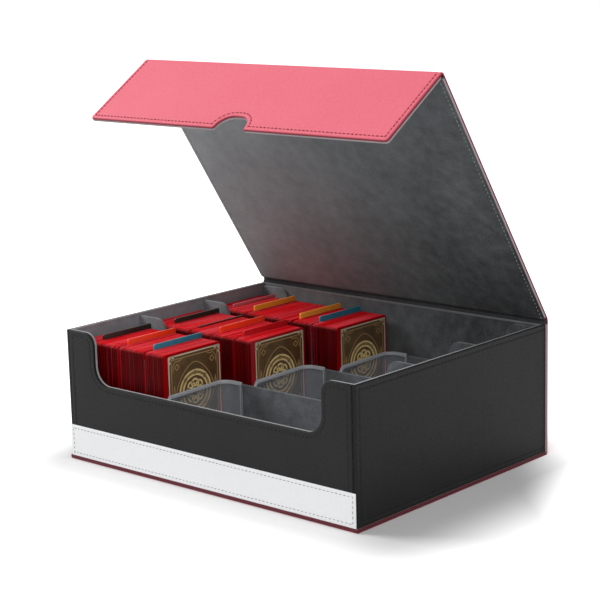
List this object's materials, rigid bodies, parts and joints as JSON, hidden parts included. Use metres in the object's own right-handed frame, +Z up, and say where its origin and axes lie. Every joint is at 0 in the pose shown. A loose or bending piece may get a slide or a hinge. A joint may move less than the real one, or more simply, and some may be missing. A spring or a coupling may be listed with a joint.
{
  "type": "flip-top trading card storage box",
  "caption": "Leather-covered box with a hinged lid and folding front flap over a suede-lined tray with card rows, sliding clear stops, card stacks and index dividers.",
  "frame": {"origin": "centre of the underside, on the surface the box stands on", "axes": "+Z up, +X along the card rows to the right, +Y from the front wall towards the lid's hinge"},
  "size_m": [0.306, 0.2402, 0.3168],
  "materials": {
    "red_leather": "fine-grained imitation leather, satin",
    "black_leather": "fine-grained imitation leather, satin",
    "white_leather": "fine-grained imitation leather, satin",
    "grey_suede": "napped microsuede",
    "grey_board": "dense grey board",
    "magnet": "nickel plated",
    "clear_plastic": "clear, a little smoky",
    "card_sleeve": "matt-backed card sleeves",
    "card_face": "printed card in a clear sleeve",
    "black_plastic": "satin",
    "dark_plastic": "satin",
    "orange_plastic": "satin",
    "red_plastic": "satin",
    "blue_plastic": "satin",
    "clear_tint_plastic": "frosted",
    "amber_plastic": "satin",
    "yellow_plastic": "satin"
  },
  "bodies": {
    "box": {"base_board": "grey_board", "base_leather": "red_leather", "back_board": "grey_board", "back_leather": "red_leather", "back_hinge_leather": "red_leather", "back_hinge_suede": "grey_suede", "tray_floor": "grey_board", "tray_front": "grey_board", "tray_back": "grey_board", "tray_left": "grey_board", "tray_right": "grey_board", "front_leather": "black_leather", "left_leather": "black_leather", "right_leather": "black_leather", "front_band": "white_leather", "front_suede": "grey_suede", "back_suede": "grey_suede", "left_suede": "grey_suede", "right_suede": "grey_suede", "floor_suede": "grey_suede", "front_partition_board": "grey_board", "front_partition_suede": "grey_suede", "middle_partition_board": "grey_board", "middle_partition_suede": "grey_suede", "back_partition_board": "grey_board", "back_partition_suede": "grey_suede", "front_magnets": "magnet"},
    "lid": {"lid_board": "grey_board", "lid_leather": "red_leather", "lid_suede": "grey_suede", "flap_hinge_leather": "red_leather", "flap_hinge_suede": "grey_suede"},
    "flap": {"flap_board": "grey_board", "flap_leather": "red_leather", "flap_suede": "grey_suede", "flap_magnets": "magnet"},
    "front_stop": {"front_stop": "clear_plastic"},
    "front_cards": {"front_cards": "card_sleeve", "front_face_card": "card_face"},
    "front_divider_black": {"front_divider_black": "black_plastic"},
    "front_divider_orange": {"front_divider_orange": "orange_plastic"},
    "front_divider_blue": {"front_divider_blue": "blue_plastic"},
    "middle_stop": {"middle_stop": "clear_plastic"},
    "middle_cards": {"middle_cards": "card_sleeve", "middle_face_card": "card_face"},
    "middle_divider_black": {"middle_divider_black": "black_plastic"},
    "middle_divider_dark": {"middle_divider_dark": "dark_plastic"},
    "middle_divider_orange": {"middle_divider_orange": "orange_plastic"},
    "middle_divider_red": {"middle_divider_red": "red_plastic"},
    "back_stop": {"back_stop": "clear_plastic"},
    "back_cards": {"back_cards": "card_sleeve", "back_face_card": "card_face"},
    "back_divider_clear": {"back_divider_clear": "clear_tint_plastic"},
    "back_divider_amber": {"back_divider_amber": "amber_plastic"},
    "back_divider_yellow": {"back_divider_yellow": "yellow_plastic"},
    "back_divider_blue": {"back_divider_blue": "blue_plastic"}
  },
  "joints": [
    {"name": "lid_hinge", "type": "hinge", "parent": "box", "child": "lid", "pos_m": [0, 0.11975, 0.1123], "axis": [-1, 0, 0], "range_deg": [-56.7, 148.3], "deforming": ["back_hinge_leather", "back_hinge_suede"]},
    {"name": "flap_fold", "type": "hinge", "parent": "lid", "child": "flap", "pos_m": [0, -0.01558, 0.31833], "axis": [1, 0, 0], "range_deg": [-90, 15], "deforming": ["flap_hinge_leather", "flap_hinge_suede"]},
    {"name": "front_stop_slide", "type": "slide", "parent": "box", "child": "front_stop", "axis": [1, 0, 0], "range_m": [0, 0.1772]},
    {"name": "front_cards_lift", "type": "slide", "parent": "box", "child": "front_cards", "axis": [0, 0, 1], "range_m": [0, 0.1]},
    {"name": "front_black_divider_lift", "type": "slide", "parent": "front_cards", "child": "front_divider_black", "axis": [0, 0, 1], "range_m": [0, 0.1]},
    {"name": "front_orange_divider_lift", "type": "slide", "parent": "front_cards", "child": "front_divider_orange", "axis": [0, 0, 1], "range_m": [0, 0.1]},
    {"name": "front_blue_divider_lift", "type": "slide", "parent": "front_cards", "child": "front_divider_blue", "axis": [0, 0, 1], "range_m": [0, 0.1]},
    {"name": "middle_stop_slide", "type": "slide", "parent": "box", "child": "middle_stop", "axis": [1, 0, 0], "range_m": [0, 0.1552]},
    {"name": "middle_cards_lift", "type": "slide", "parent": "box", "child": "middle_cards", "axis": [0, 0, 1], "range_m": [0, 0.1]},
    {"name": "middle_black_divider_lift", "type": "slide", "parent": "middle_cards", "child": "middle_divider_black", "axis": [0, 0, 1], "range_m": [0, 0.1]},
    {"name": "middle_dark_divider_lift", "type": "slide", "parent": "middle_cards", "child": "middle_divider_dark", "axis": [0, 0, 1], "range_m": [0, 0.1]},
    {"name": "middle_orange_divider_lift", "type": "slide", "parent": "middle_cards", "child": "middle_divider_orange", "axis": [0, 0, 1], "range_m": [0, 0.1]},
    {"name": "middle_red_divider_lift", "type": "slide", "parent": "middle_cards", "child": "middle_divider_red", "axis": [0, 0, 1], "range_m": [0, 0.1]},
    {"name": "back_stop_slide", "type": "slide", "parent": "box", "child": "back_stop", "axis": [1, 0, 0], "range_m": [0, 0.1297]},
    {"name": "back_cards_lift", "type": "slide", "parent": "box", "child": "back_cards", "axis": [0, 0, 1], "range_m": [0, 0.018]},
    {"name": "back_clear_divider_lift", "type": "slide", "parent": "back_cards", "child": "back_divider_clear", "axis": [0, 0, 1], "range_m": [0, 0.018]},
    {"name": "back_amber_divider_lift", "type": "slide", "parent": "back_cards", "child": "back_divider_amber", "axis": [0, 0, 1], "range_m": [0, 0.018]},
    {"name": "back_yellow_divider_lift", "type": "slide", "parent": "back_cards", "child": "back_divider_yellow", "axis": [0, 0, 1], "range_m": [0, 0.018]},
    {"name": "back_blue_divider_lift", "type": "slide", "parent": "back_cards", "child": "back_divider_blue", "axis": [0, 0, 1], "range_m": [0, 0.018]}
  ]
}
